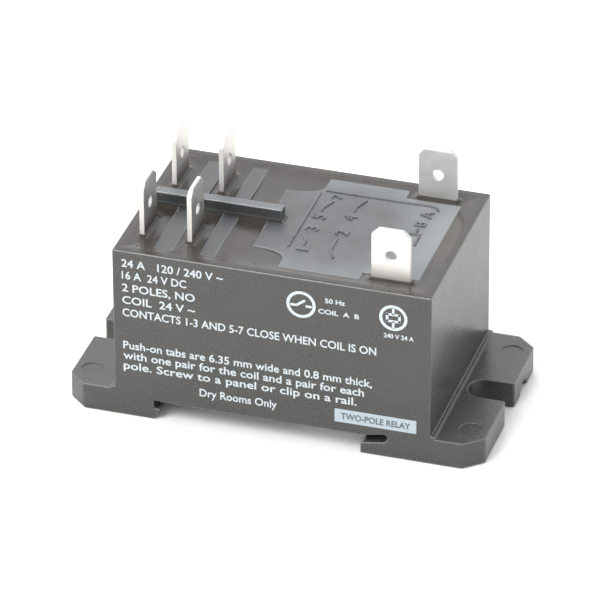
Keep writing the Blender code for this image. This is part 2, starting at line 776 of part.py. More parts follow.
def make_coil_leads(material):
    """Insulated leads from the coil's rim to the tails of the coil terminals."""
    tape_radius = winding_radius + seat_gap + tape_thickness
    start = (tape_radius + coil_lead_radius + seat_gap) * 0.5**0.5
    lug_y = coil_terminal_y - strip_thickness / 2 - seat_gap - coil_lead_radius
    lug_end = header_bottom - coil_lug_drop
    for name, side in sides:
        route = [
            (coil_x + start, start, lug_end - 4.0 * mm),
            (coil_x + start + 0.6 * mm, start + 0.7 * mm, lug_end - 5.1 * mm),
            (coil_x + start + 1.7 * mm, start + 1.9 * mm, lug_end - 4.9 * mm),
            (coil_terminal_x + 0.2 * mm, lug_y - 0.2 * mm, lug_end - 2.3 * mm),
            (coil_terminal_x, lug_y, lug_end - 0.5 * mm),
            (coil_terminal_x, lug_y, lug_end + 1.9 * mm),
        ]
        points = smooth_route([(x, side * y, z) for x, y, z in route], 5)
        wire(f"coil_lead_{name}", points, coil_lead_radius, material)


# Armature group -----------------------------------------------------------------------------


def hinge_empty():
    """The armature's hinge line. Its children are modelled closed, and it opens them by its turn."""
    empty = bpy.data.objects.new("armature_hinge", None)
    bpy.context.scene.collection.objects.link(empty)
    empty.location = (hinge_x, 0, hinge_z)
    empty.rotation_euler.y = open_angle
    return empty


def from_hinge(x, y, z):
    return (x - hinge_x, y, z - hinge_z)


def make_armature(material, hinge):
    top = pole_face - armature_gap
    low = top - armature_thickness
    half, corner = armature_width / 2, armature_corner
    right = coil_x + armature_reach
    right_side = [(right - corner, half), (right, half - corner)]
    neck = yoke_left - 0.6 * mm
    edge = [*reversed(right_side), (neck, half), (neck, tail_half_width), (tail_left, tail_half_width)]
    outline = [(x - hinge_x, y) for x, y in [*edge, *[(x, -y) for x, y in reversed(edge)]]]
    plate = prism(outline, "Z", low - hinge_z, top - hinge_z)
    armature = add("armature", plate, material, parent=hinge)
    hole = rivet_shank + slot_gap
    for _, side in sides:
        cut(armature, rod(hole, -4 * mm, 2 * mm, 16), from_hinge(rivet_x, side * carrier_rivet_y, hinge_z))
    cut(armature, rod(spring_hole_radius, -4 * mm, 2 * mm, 16), from_hinge(spring_x, 0, hinge_z))


def make_carrier(material, hinge):
    """The insulating block on the armature's tail. It holds both contact blades."""
    low = pole_face - armature_gap + seat_gap
    x = (carrier_left - hinge_x, carrier_right - hinge_x)
    z = (low - hinge_z, low + carrier_height - hinge_z)
    y = (-carrier_width / 2, carrier_width / 2)
    carrier = add("contact_carrier", block(x, y, z), material, parent=hinge)
    notch_x = (spring_x - hinge_x - carrier_notch_half, x[1] + 1 * mm)
    notch = block(notch_x, (-carrier_notch_half, carrier_notch_half), (z[0] - 1 * mm, z[1] + 1 * mm))
    cut(carrier, notch)
    hole = rivet_shank + slot_gap
    for _, side in sides:
        cut(carrier, rod(hole, -2 * mm, 4 * mm, 16), from_hinge(rivet_x, side * carrier_rivet_y, hinge_z))
        cut(carrier, rod(hole, -2 * mm, 4 * mm, 16), from_hinge(rivet_x, side * pole_y, hinge_z))


def make_blades(material, rivet_material, contact_material, hinge):
    """Each L-shaped blade is riveted to the carrier and carries a contact at its upper end."""
    carrier_top = pole_face - armature_gap + seat_gap + carrier_height
    tail_low = pole_face - armature_gap - armature_thickness
    foot_low = carrier_top + seat_gap
    blade_right = blade_left + blade_thickness
    sole_end = blade_left + blade_foot_length
    bend = 0.5 * mm
    outline = [
        (sole_end, foot_low),
        (sole_end, foot_low + blade_thickness),
        *arc((blade_right + bend, foot_low + blade_thickness + bend), bend, -90, -180, 3),
        (blade_right, blade_top),
        (blade_left, blade_top),
        *arc((blade_left + bend, foot_low + bend), bend, 180, 270, 3),
    ]
    outline = [(x - hinge_x, z - hinge_z) for x, z in outline]
    shape = prism(outline, "Y", -blade_width / 2, blade_width / 2)
    blade = add("contact_blade_front", shape, material, parent=hinge)
    middle = (blade_left + blade_right) / 2
    hole = across(rod(contact_shank + slot_gap, -1 * mm, 1 * mm, 20))
    cut(blade, hole, from_hinge(middle, 0, contact_height))
    cut(blade, rod(rivet_shank + slot_gap, 0, 4 * mm, 16), from_hinge(rivet_x, 0, hinge_z))
    solidified(blade)
    blade.location = (0, -pole_y, 0)
    copy_of(blade, "contact_blade_rear", (0, pole_y, 0))

    grip = blade_thickness + 2 * pour_gap
    shape = rivet(grip, contact_shank, contact_radius, moving_contact_height, 1.4 * mm, 0.4 * mm)
    shape.transform(Matrix.Rotation(-pi / 2, 4, "Y"))
    contact = add("moving_contact_front", shape, contact_material, parent=hinge, smooth=True)
    contact.location = from_hinge(middle, -pole_y, contact_height)
    copy_of(contact, "moving_contact_rear", from_hinge(middle, pole_y, contact_height))

    blade_stack = foot_low + blade_thickness + pour_gap, carrier_top - carrier_height - pour_gap
    tail_stack = carrier_top + pour_gap, tail_low - pour_gap
    for name, stack, y in (
        ("blade_rivet", blade_stack, pole_y),
        ("carrier_rivet", tail_stack, carrier_rivet_y),
    ):
        head = rivet_head_radius, rivet_head_height
        shape = rivet(stack[0] - stack[1], rivet_shank, *head, 1.3 * mm, 0.4 * mm, 16)
        height = (stack[0] + stack[1]) / 2
        front = from_hinge(rivet_x, -y, height)
        first = add(f"{name}_front", shape, rivet_material, front, hinge, smooth=True)
        copy_of(first, f"{name}_rear", from_hinge(rivet_x, y, height))


def make_braids(material):
    """Copper braids from the common terminals' tails to the contact blades. They flex with the armature."""
    start = common_x + strip_thickness / 2 + seat_gap
    lift = (braid_height - hinge_z) * sin(open_angle)
    end = blade_left + lift - 0.2 * mm
    run = end - start
    sag = braid_height - 1.0 * mm
    for name, side in sides:
        route = [
            (start, braid_height + 1.5 * mm),
            (start + 0.14 * run, braid_height + 1.1 * mm),
            (start + 0.30 * run, sag + 0.5 * mm),
            (start + 0.52 * run, sag - 0.5 * mm),
            (start + 0.74 * run, sag + 0.1 * mm),
            (start + 0.88 * run, braid_height - 0.2 * mm),
            (end, braid_height),
        ]
        points = smooth_route([(x, side * pole_y, z) for x, z in route], 4)
        wire(f"braid_{name}", points, braid_radius, material)


def make_return_spring(material):
    """A tension spring from the yoke's lug down to the armature's tail."""
    tail_top = pole_face - armature_gap
    tail_low = tail_top - armature_thickness + (hinge_x - spring_x) * sin(open_angle)
    hook = tail_low - spring_wire_radius - 0.1 * mm
    low = tail_top + carrier_height + 1.4 * mm
    high = spring_lug_height - 1.6 * mm
    over_lug = spring_lug_height + spring_lug_thickness + spring_wire_radius + 0.3 * mm
    steps = 12 * spring_turns
    turns = [2 * pi * i / 12 for i in range(steps + 1)]
    r = spring_coil_radius
    coil = [
        (spring_x + r * cos(a), r * sin(a), low + (high - low) * i / steps) for i, a in enumerate(turns)
    ]
    lower = [(spring_x + 1.0 * mm, 0, hook - 0.1 * mm), (spring_x, 0, hook), (spring_x, 0, low - 0.9 * mm)]
    upper = [(spring_x, 0, high + 0.9 * mm), (spring_x, 0, over_lug)]
    upper.append((spring_x - 1.0 * mm, 0, over_lug + 0.3 * mm))
    wire("return_spring", [*lower, *coil, *upper], spring_wire_radius, material, rings=1)


# Rail spring --------------------------------------------------------------------------------


def make_rail_spring(material, rivet_material):
    """A leaf that rocks a little on its rivet, with a bent nose that presses on the rail."""
    flat_low = rail_seat + leaf_air
    t = leaf_thickness
    under = [
        (leaf_left, flat_low),
        (leaf_bend_x, flat_low),
        (leaf_nose_x - 0.6 * mm, leaf_nose_z + 0.05 * mm),
        (leaf_nose_x, leaf_nose_z),
        (leaf_nose_x + 0.5 * mm, leaf_nose_z + 0.15 * mm),
        (leaf_tip_x, leaf_tip_z),
    ]
    over = [
        (leaf_left, flat_low + t),
        (leaf_bend_x + 0.15 * mm, flat_low + t),
        (leaf_nose_x - 0.5 * mm, leaf_nose_z + t + 0.05 * mm),
        (leaf_nose_x, leaf_nose_z + t),
        (leaf_nose_x + 0.3 * mm, leaf_nose_z + t + 0.1 * mm),
        (leaf_tip_x - 0.25 * mm, leaf_tip_z + 0.25 * mm),
    ]
    outline = [(x - leaf_rivet_x, z) for x, z in [*under, *reversed(over)]]
    shape = prism(outline, "Y", -leaf_width / 2, leaf_width / 2)
    shape.transform(Matrix.Translation((0, 0, -(flat_low + t / 2))))
    leaf = add("rail_spring", shape, material, (leaf_rivet_x, 0, flat_low + t / 2))
    cut(leaf, rod(leaf_rivet_shank + 0.35 * mm, -2 * mm, 2 * mm, 20), leaf.location)

    top = floor_top + pour_gap
    low = flat_low - seat_gap
    shape = rivet(top - low, leaf_rivet_shank, leaf_rivet_head, 0.5 * mm, leaf_rivet_head, 0.5 * mm)
    add("rail_spring_rivet", shape, rivet_material, (leaf_rivet_x, 0, (top + low) / 2), smooth=True)


# Build --------------------------------------------------------------------------------------


def main():
    for obj in list(bpy.data.objects):
        bpy.data.objects.remove(obj)
    shell = finish("housing_plastic", (0.105, 0.103, 0.095), 0.5)
    base = finish("header_plastic", (0.135, 0.148, 0.155), 0.45)
    resin = finish("epoxy", (0.075, 0.062, 0.052), 0.15)
    tinned = finish("tinned_brass", (0.80, 0.79, 0.76), 0.3, 1.0)
    silver = finish("contact_silver", (0.86, 0.85, 0.82), 0.25, 1.0)
    copper = finish("blade_copper", (0.72, 0.40, 0.25), 0.35, 1.0)
    enamel = finish("winding_copper", (0.50, 0.21, 0.08), 0.4, 0.8)
    iron = finish("magnet_iron", (0.55, 0.55, 0.56), 0.4, 1.0)
    steel = finish("spring_steel", (0.66, 0.66, 0.67), 0.3, 1.0)
    spool = finish("bobbin_nylon", (0.62, 0.60, 0.54), 0.5)
    tape = finish("coil_tape", (0.72, 0.55, 0.08), 0.3)
    insulator = finish("carrier_plastic", (0.55, 0.07, 0.05), 0.5)
    sleeve = finish("lead_sleeve", (0.70, 0.68, 0.62), 0.5)

    make_housing(shell)
    make_header(base)
    make_seal(resin)
    make_terminals(tinned)
    make_fixed_contacts(silver)
    make_yoke(iron)
    make_core(iron, copper)
    make_coil(spool, enamel, tape)
    make_coil_leads(sleeve)
    hinge = hinge_empty()
    make_armature(iron, hinge)
    make_carrier(insulator, hinge)
    make_blades(copper, steel, silver, hinge)
    make_braids(copper)
    make_return_spring(steel)
    make_rail_spring(steel, steel)


main()
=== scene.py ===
import bmesh
import bpy
import math
import random
from mathutils import Matrix, Vector


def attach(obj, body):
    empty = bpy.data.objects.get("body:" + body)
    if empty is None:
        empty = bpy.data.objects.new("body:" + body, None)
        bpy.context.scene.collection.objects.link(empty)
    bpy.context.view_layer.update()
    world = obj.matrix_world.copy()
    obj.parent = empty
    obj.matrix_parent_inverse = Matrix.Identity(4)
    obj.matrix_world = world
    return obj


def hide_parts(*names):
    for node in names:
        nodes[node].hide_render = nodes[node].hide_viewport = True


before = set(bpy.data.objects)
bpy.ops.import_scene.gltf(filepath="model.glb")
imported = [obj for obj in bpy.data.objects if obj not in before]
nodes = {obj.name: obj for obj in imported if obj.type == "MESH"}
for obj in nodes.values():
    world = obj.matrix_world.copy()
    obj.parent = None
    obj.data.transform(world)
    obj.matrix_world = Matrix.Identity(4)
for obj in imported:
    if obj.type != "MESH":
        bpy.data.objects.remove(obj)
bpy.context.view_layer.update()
mm = 0.001

# modelling helpers


def clearSelection():
    if bpy.context.object and bpy.context.object.mode == "EDIT":
        bpy.ops.object.mode_set(mode="OBJECT")
    bpy.ops.object.select_all(action="DESELECT")


def makeActive(piece):
    clearSelection()
    piece.select_set(True)
    bpy.context.view_layer.objects.active = piece


def settle(name):  # the active object gets its name, and its place goes into its mesh
    piece = bpy.context.object
    piece.name = name
    piece.data.name = name
    bpy.ops.object.transform_apply(location=True, rotation=True, scale=True)
    return piece


def addBlock(name, low, high):
    low, high = Vector(low), Vector(high)
    clearSelection()
    bpy.ops.mesh.primitive_cube_add(size=1, location=(low + high) / 2)
    bpy.context.object.scale = high - low
    return settle(name)


def openMesh(piece, mode="FACE"):  # edit mode, with nothing selected
    makeActive(piece)
    bpy.ops.object.mode_set(mode="EDIT")
    bpy.ops.mesh.select_mode(type=mode)
    bpy.ops.mesh.select_all(action="DESELECT")
    return bmesh.from_edit_mesh(piece.data)


def pick(piece, test, mode="FACE"):  # selects the faces or edges that pass the test
    mesh = openMesh(piece, mode)
    for part in mesh.faces if mode == "FACE" else mesh.edges:
        if test(part):
            part.select_set(True)
    bmesh.update_edit_mesh(piece.data)


def closeMesh():
    bpy.ops.object.mode_set(mode="OBJECT")


def applyModifier(piece, kind, **settings):
    makeActive(piece)
    modifier = piece.modifiers.new(kind.lower(), kind)
    for key, value in settings.items():
        setattr(modifier, key, value)
    bpy.ops.object.modifier_apply(modifier=modifier.name)


def joinAll(name, pieces):
    clearSelection()
    for piece in pieces:
        piece.select_set(True)
    bpy.context.view_layer.objects.active = pieces[0]
    if len(pieces) > 1:
        bpy.ops.object.join()
    return settle(name)


def smoothByAngle(piece, degrees):
    makeActive(piece)
    bpy.ops.object.shade_smooth_by_angle(angle=math.radians(degrees))


weld = {
    "gap": 0.002,  # millimetres
    "flat": 0.6,  # degrees
}


def copyNode(node, name):  # a welded copy of a CAD node, with its flat faces whole again
    piece = bpy.data.objects.new(name, nodes[node].data.copy())
    bpy.context.scene.collection.objects.link(piece)
    piece.data.name = name
    piece.data.materials.clear()
    openMesh(piece, "VERT")
    bpy.ops.mesh.select_all(action="SELECT")
    bpy.ops.mesh.remove_doubles(threshold=weld["gap"] * mm)
    bpy.ops.mesh.dissolve_limited(angle_limit=math.radians(weld["flat"]))
    bpy.ops.mesh.customdata_custom_splitnormals_clear()
    closeMesh()
    return piece


rounding = {
    "sharpFrom": 18,  # degrees; edges flatter than this stay as they are
    "smoothBelow": 40,  # degrees
    "faceWeight": 60,
}


def roundEdges(piece, width, segments, share):
    # share gives each sharp edge's part of the width, from its middle in millimetres and the edge itself
    mesh = openMesh(piece, "EDGE")
    layers = mesh.edges.layers.float
    weights = layers.get("bevel_weight_edge") or layers.new("bevel_weight_edge")
    for edge in mesh.edges:
        sharp = len(edge.link_faces) == 2 and edge.calc_face_angle() > math.radians(rounding["sharpFrom"])
        middle = (edge.verts[0].co + edge.verts[1].co) / 2
        edge[weights] = share(middle / mm, edge) if sharp else 0.0
    bmesh.update_edit_mesh(piece.data)
    closeMesh()
    applyModifier(
        piece, "BEVEL", limit_method="WEIGHT", width=width * mm, segments=segments, use_clamp_overlap=False,
        miter_outer="MITER_ARC", offset_type="OFFSET",
    )
    smoothByAngle(piece, rounding["smoothBelow"])
    applyModifier(piece, "WEIGHTED_NORMAL", keep_sharp=True, weight=rounding["faceWeight"])


# shader helpers


class Signal:  # one output socket; sums and products on it add Math nodes
    def __init__(self, tree, socket):
        self.tree = tree
        self.socket = socket

    def combine(self, operation, first, second, clamp=False):
        node = self.tree.nodes.new("ShaderNodeMath")
        node.operation = operation
        node.use_clamp = clamp
        for slot, value in zip(node.inputs, (first, second)):
            plug(self.tree, slot, value)
        return Signal(self.tree, node.outputs[0])

    def __add__(self, other):
        return self.combine("ADD", self, other)

    def __radd__(self, other):
        return self.combine("ADD", other, self)

    def __sub__(self, other):
        return self.combine("SUBTRACT", self, other)

    def __rsub__(self, other):
        return self.combine("SUBTRACT", other, self)

    def __mul__(self, other):
        return self.combine("MULTIPLY", self, other)

    def __rmul__(self, other):
        return self.combine("MULTIPLY", other, self)

    def power(self, other):
        return self.combine("POWER", self, other)

    def absolute(self):
        return self.combine("ABSOLUTE", self, 0.0)

    def clamped(self):
        return self.combine("MULTIPLY", self, 1.0, clamp=True)


def plug(tree, slot, value):
    if isinstance(value, Signal):
        tree.links.new(value.socket, slot)
    elif hasattr(slot.default_value, "__len__") and len(slot.default_value) == 4:
        slot.default_value = (*value[:3], 1)
    else:
        slot.default_value = value


class Paint:  # a material, with one method that adds any node
    def __init__(self, name, colour, roughness, metallic=0.0):
        self.material = bpy.data.materials.new(name)
        self.material.use_nodes = True
        self.tree = self.material.node_tree
        self.shader = self.tree.nodes["Principled BSDF"]
        self.set("Base Color", colour)
        self.set("Roughness", roughness)
        self.set("Metallic", metallic)
        self.place = self.add("ShaderNodeTexCoord", output="Object")

    def set(self, socket, value):
        plug(self.tree, self.shader.inputs[socket], value)

    def add(self, kind, settings=(), output=0, **values):
        node = self.tree.nodes.new(kind)
        for key, value in dict(settings).items():
            setattr(node, key, value)
        for key, value in values.items():  # i0 is the first input, and From_Min goes by its name
            byNumber = key[0] == "i" and key[1:].isdigit()
            plug(self.tree, node.inputs[int(key[1:]) if byNumber else key.replace("_", " ")], value)
        return Signal(self.tree, node.outputs[output])

    def noise(self, grain, detail, where=None):  # grain is the size of a spot, in metres
        return self.add("ShaderNodeTexNoise", Vector=where or self.place, Scale=1 / grain, Detail=detail)

    def stretched(self, x, y, z):  # the place, squeezed along an axis, for grain that runs one way
        return self.add("ShaderNodeMapping", Vector=self.place, Scale=(x, y, z))

    def split(self, vector, axis):
        return self.add("ShaderNodeSeparateXYZ", output=axis, Vector=vector)

    def facing(self, axis):  # how far the surface looks along an axis, from -1 to 1
        return self.split(self.add("ShaderNodeNewGeometry", output="Normal"), axis)

    def ramp(self, value, low, high):  # 0 below low and 1 above high
        return self.add("ShaderNodeMapRange", {"clamp": True}, Value=value, From_Min=low, From_Max=high)

    def blend(self, factor, first, second):
        return self.add("ShaderNodeMix", {"data_type": "RGBA"}, output=2, i0=factor, i6=first, i7=second)

    def edges(self, radius):  # 1 along outer and inner edges, 0 on flats
        soft = self.add("ShaderNodeBevel", {"samples": 4}, Radius=radius)
        flat = self.add("ShaderNodeNewGeometry", output="Normal")
        product = {"operation": "DOT_PRODUCT"}
        return 1 - self.add("ShaderNodeVectorMath", product, output="Value", i0=soft, i1=flat)

    def relief(self, height, depth, strength):
        self.set("Normal", self.add("ShaderNodeBump", Height=height, Distance=depth, Strength=strength))


# camera, light and floor

view = {  # millimetres and degrees
    "place": (251.8, -807.5, 528.3),
    "clip": 10,
    "azimuth": 17.35,
    "elevation": 31.21,
    "roll": -0.28,
    "lens": 371.5,
}


def makeCamera():
    clearSelection()
    bpy.ops.object.camera_add(location=Vector(view["place"]) * mm)
    camera = bpy.context.object
    turn = Matrix.Rotation(math.radians(view["azimuth"]), 4, "Z")
    tilt = Matrix.Rotation(math.radians(90 - view["elevation"]), 4, "X")
    roll = Matrix.Rotation(math.radians(view["roll"]), 4, "Z")
    camera.rotation_euler = (turn @ tilt @ roll).to_euler()
    camera.data.lens = view["lens"]
    camera.data.clip_start = view["clip"] * mm
    bpy.context.scene.camera = camera


studio = {  # in metres
    "world": (0.73, 0.73, 0.74),
    "aim": (0, 0, 0.02),
    "lamps": [  # name, place, width and height, radiance
        ("key", (-0.38, -0.60, 0.84), (0.6, 0.6), 7.2),
        ("frontPanel", (-0.45, -1.10, 0.26), (1.6, 0.5), 3.0),
        ("backPanel", (-0.45, 1.00, 0.50), (1.9, 0.9), 1.1),
        ("backTop", (-0.20, 0.55, 0.95), (0.9, 0.4), 3.6),
        ("right", (1.05, 0.10, 0.45), (0.8, 0.7), 1.2),
    ],
    "floorSize": 6,
    "floorTone": (0.98, 0.965, 0.945),
    "floorRoughness": 0.9,
}


def makeLight():
    world = bpy.data.worlds.new("studio")
    bpy.context.scene.world = world
    world.use_nodes = True
    world.node_tree.nodes["Background"].inputs["Color"].default_value = (*studio["world"], 1)
    bpy.context.scene.view_settings.view_transform = "Standard"
    for name, place, size, radiance in studio["lamps"]:
        clearSelection()
        bpy.ops.object.light_add(type="AREA", location=place)
        lamp = bpy.context.object
        lamp.name = name
        lamp.data.shape = "RECTANGLE"
        lamp.data.size, lamp.data.size_y = size
        lamp.data.energy = radiance * math.pi * size[0] * size[1]
        lamp.rotation_euler = (Vector(place) - Vector(studio["aim"])).to_track_quat("Z", "Y").to_euler()


def makeFloor():
    clearSelection()
    bpy.ops.mesh.primitive_plane_add(size=studio["floorSize"])
    floor = settle("studioFloor")
    paint = Paint("paperSweep", studio["floorTone"], studio["floorRoughness"])
    floor.data.materials.append(paint.material)


makeCamera()
makeLight()
makeFloor()
print("camera, light and floor are set")

# finishes

moulding = {
    "cloud": 6 * mm,  # size of the slow patches
    "paleEdgeWidth": 0.4 * mm,  # how wide an edge goes pale, as edge wear and a painted edge highlight
    "paleEdgePatch": 1.5 * mm,
    "edgeWearAndHighlight": 0.85,  # how far the pale edges (edge wear and a painted edge highlight), specks and the painted highlight on rounded corners go to the pale tone
    "speck": 0.24,
    "corner": 1.3,
    "polish": 0.2,  # how much smoother the rounded corners are
    # the dark tone of the painted shade
    "paintedShadeTone": (0.012, 0.012, 0.011),
    "relief": 0.032 * mm,
}


def mouldedPlastic(name, dark, light, wornAndHighlightTone, roughness, grain, shade=None, paintedShade=None):
    paint = Paint(name, dark, roughness)
    cloud = paint.noise(moulding["cloud"], 3)
    fine = paint.noise(grain, 2)
    speck = paint.ramp(paint.noise(grain * 0.8, 1), 0.64, 0.74)
    tone = paint.blend((paint.ramp(fine, 0.3, 0.7) * 0.6 + cloud * 0.4).clamped(), dark, light)
    # shade, where given, paints a sheen that takes the tone towards the pale tone
    if shade:
        tone = paint.blend(shade(paint), tone, wornAndHighlightTone)
    # painted shade: the given mask takes the tone towards a dark tone
    if paintedShade:
        tone = paint.blend(paintedShade(paint), tone, moulding["paintedShadeTone"])
    # edge wear in patches, which also paints a highlight along the edges
    rubbedAndHighlitEdge = paint.ramp(paint.edges(moulding["paleEdgeWidth"]), 0.02, 0.12)
    edgeWearAndHighlight = rubbedAndHighlitEdge * paint.ramp(paint.noise(moulding["paleEdgePatch"], 3), 0.25, 0.5)
    # painted highlight: faces half way between up and sideways, the rounded corners, go to the pale tone
    upward = paint.facing("Z")
    corner = paint.ramp(upward * upward * (1 - upward * upward), 0.1, 0.24)
    pale = moulding["edgeWearAndHighlight"] * edgeWearAndHighlight + moulding["speck"] * speck + moulding["corner"] * corner
    paint.set("Base Color", paint.blend(pale.clamped(), tone, wornAndHighlightTone))
    uneven = (cloud - 0.5) * 0.10 + (fine - 0.5) * 0.14
    paint.set("Roughness", (roughness + uneven - moulding["polish"] * corner).clamped())
    paint.relief(fine + paint.noise(grain * 2.6, 2) * 0.4, moulding["relief"], 0.7)
    return paint.material


ejectorMark = {  # in millimetres
    "x": 31.45,
    "y": 12.2,
    "radius": 1.85,
    "above": (3, 4),  # the painted shade fades in between these heights
    "outline": (0.08, 0.38),
    "disc": (-0.2, 0.1),
}
island = {  # in millimetres, the painted sheen on the large island's paler rim and right end
    "middle": 6,
    "reach": (17.5, 14.5),
    "left": (-5, 1),
    "right": (12, 21),
    "patch": 3.5,
}
ribPaintedLight = {  # heights in millimetres where the painted highlight on the crest and the painted shade on the front fade in
    "crest": (32.2, 32.4),
    # the painted shade on the rib's front fades in between these heights
    "film": (30.7, 30.9),
}


def rampAt(paint, value, span):  # a ramp between two sizes in millimetres
    return paint.ramp(value, span[0] * mm, span[1] * mm)


def paintedMarkShade(paint):  # painted shade: a dark outline in the crease round the ejector marks on the feet, and a slightly darker disc
    x, y, z = (paint.split(paint.place, axis) for axis in "XYZ")
    across = x.absolute() - ejectorMark["x"] * mm
    along = y.absolute() - ejectorMark["y"] * mm
    gap = (across * across + along * along).power(0.5) - ejectorMark["radius"] * mm
    outline = 1 - rampAt(paint, gap.absolute(), ejectorMark["outline"])
    disc = 1 - rampAt(paint, gap, ejectorMark["disc"])
    return (outline * 0.7 + disc * 0.2).clamped() * rampAt(paint, z, ejectorMark["above"])


def paintedPlateSheen(paint):  # painted sheen: paler towards the large island's rim and its right end, and a painted highlight on the rib's crest
    x, y, z = (paint.split(paint.place, axis) for axis in "XYZ")
    across = (x - island["middle"] * mm) * (1 / (island["reach"][0] * mm))
    along = y * (1 / (island["reach"][1] * mm))
    rim = paint.ramp(across * across + along * along, 0.25, 1.0)
    cloud = paint.ramp(paint.noise(island["patch"] * mm, 3), 0.35, 0.65)
    pale = rim * 0.45 + rampAt(paint, x, island["right"]) * 0.5 + cloud * 0.16
    return (pale * rampAt(paint, x, island["left"]) + rampAt(paint, z, ribPaintedLight["crest"]) * 0.45).clamped()


def paintedRibShade(paint):  # painted shade on the rib's side that looks towards the front, above the seal
    z = paint.split(paint.place, "Z")
    return paint.ramp(0 - paint.facing("Y"), 0.7, 0.95) * rampAt(paint, z, ribPaintedLight["film"]) * 0.6


compound = {
    "roughness": 0.17,
    "tones": ((0.020, 0.016, 0.012), (0.040, 0.034, 0.028)),
    "cloud": 5 * mm,
    "paintedOcclusionTone": (0.006, 0.0045, 0.003),
    "occlusionReach": 2.2 * mm,
    "patch": 2.2 * mm,
    "wave": 4.5 * mm,
    "grain": 0.45 * mm,
    "relief": 0.12 * mm,
}


def pouredEpoxy():
    paint = Paint("pouredEpoxy", compound["tones"][0], compound["roughness"])
    tone = paint.blend(paint.noise(compound["cloud"], 3), *compound["tones"])
    reach = compound["occlusionReach"]
    # painted shade: the base colour goes darker where the ambient occlusion node finds the epoxy hemmed in
    # by tabs, rib and rim, and the same mask makes it rougher there
    air = paint.add("ShaderNodeAmbientOcclusion", {"samples": 6}, output="AO", Distance=reach)
    occlusion = 1 - paint.ramp(air, 0.35, 0.85)
    paint.set("Base Color", paint.blend(occlusion, tone, compound["paintedOcclusionTone"]))
    dull = paint.ramp(paint.noise(compound["patch"], 4), 0.35, 0.75)
    paint.set("Roughness", compound["roughness"] + dull * 0.12 + occlusion * 0.35)
    wave = paint.noise(compound["wave"], 2) + paint.noise(compound["grain"], 3) * 0.14
    paint.relief(wave, compound["relief"], 0.6)
    return paint.material


tin = {
    "tones": ((0.71, 0.70, 0.68), (0.78, 0.77, 0.745)),
    "edgeTone": (0.84, 0.83, 0.81),
    "shearedTone": (0.72, 0.71, 0.69),
    "roughness": 0.40,
    "shearedRoughness": 0.35,  # added on the sheared faces
    "streak": 0.12 * mm,
    "bloom": 1.6 * mm,
    "edge": 0.18 * mm,
    "foot": (30.3, 33.4),  # in millimetres, where the foot's tone ends
    "relief": 0.006 * mm,
}


def tinPlate(name, flatAxis, footTone):  # the rolled faces look along flatAxis, and the others are sheared
    paint = Paint(name, tin["tones"][0], tin["roughness"], 1.0)
    streak = paint.noise(tin["streak"], 3, paint.stretched(1, 1, 0.06))
    bloom = paint.noise(tin["bloom"], 4)
    edge = paint.ramp(paint.edges(tin["edge"]), 0.02, 0.2)
    tone = paint.blend(paint.ramp(bloom, 0.35, 0.7), *tin["tones"])
    tone = paint.blend(edge * 0.5, tone, tin["edgeTone"])
    foot = rampAt(paint, paint.split(paint.place, "Z"), tin["foot"])
    facing = paint.facing(flatAxis)
    sheared = 1 - paint.ramp(facing * facing, 0.6, 0.9)
    tone = paint.blend(foot, footTone, tone)
    paint.set("Base Color", paint.blend(sheared * paint.ramp(foot, 0, 0.15), tone, tin["shearedTone"]))
    uneven = streak * 0.08 + paint.ramp(bloom, 0.45, 0.75) * 0.05
    paint.set("Roughness", tin["roughness"] + uneven + sheared * tin["shearedRoughness"])
    paint.relief(streak, tin["relief"], 0.3)
    return paint.material


metal = {"streak": 0.15 * mm, "bloom": 1.5 * mm, "relief": 0.008 * mm}


def rolledMetal(name, colour, shade, roughness):
    paint = Paint(name, colour, roughness, 1.0)
    streak = paint.noise(metal["streak"], 3, paint.stretched(1, 0.08, 1))
    bloom = paint.noise(metal["bloom"], 4)
    paint.set("Base Color", paint.blend(paint.ramp(bloom, 0.3, 0.75), colour, shade))
    paint.set("Roughness", roughness - 0.06 + streak * 0.16)
    paint.relief(streak, metal["relief"], 0.4)
    return paint.material


soft = {"cloud": 2.5 * mm, "dull": 0.4 * mm, "grain": 0.25 * mm, "relief": 0.01 * mm}


def softPlastic(name, colour, shade, roughness, subsurface=0.0):
    paint = Paint(name, colour, roughness)
    paint.set("Base Color", paint.blend(paint.noise(soft["cloud"], 3), colour, shade))
    paint.set("Roughness", roughness + (paint.noise(soft["dull"], 2) - 0.5) * 0.15)
    paint.set("Subsurface Weight", subsurface)
    paint.relief(paint.noise(soft["grain"], 2), soft["relief"], 0.3)
    return paint.material


wire = {"roughness": 0.32, "metallic": 0.85, "relief": 0.05 * mm}


def woundWire(name, colour, shade, pitch):  # enamelled turns, side by side up the coil
    paint = Paint(name, colour, wire["roughness"], wire["metallic"])
    bands = paint.add(
        "ShaderNodeTexWave", {"bands_direction": "Z", "wave_profile": "SIN"}, output="Fac",
        Vector=paint.place, Scale=math.pi / (10 * pitch), Distortion=0.4, Detail=1.0, Detail_Scale=0.5,
    )
    paint.set("Base Color", paint.blend(bands, shade, colour))
    paint.relief(bands, wire["relief"], 0.8)
    return paint.material


dye = {"roughness": 0.55, "speck": 0.12 * mm, "relief": 0.01 * mm}


def printInk(name, colour, shade):
    paint = Paint(name, colour, dye["roughness"])
    speck = paint.ramp(paint.noise(dye["speck"], 3), 0.30, 0.52)
    paint.set("Base Color", paint.blend(speck, shade, colour))
    paint.relief(speck, dye["relief"], 0.3)
    return paint.material


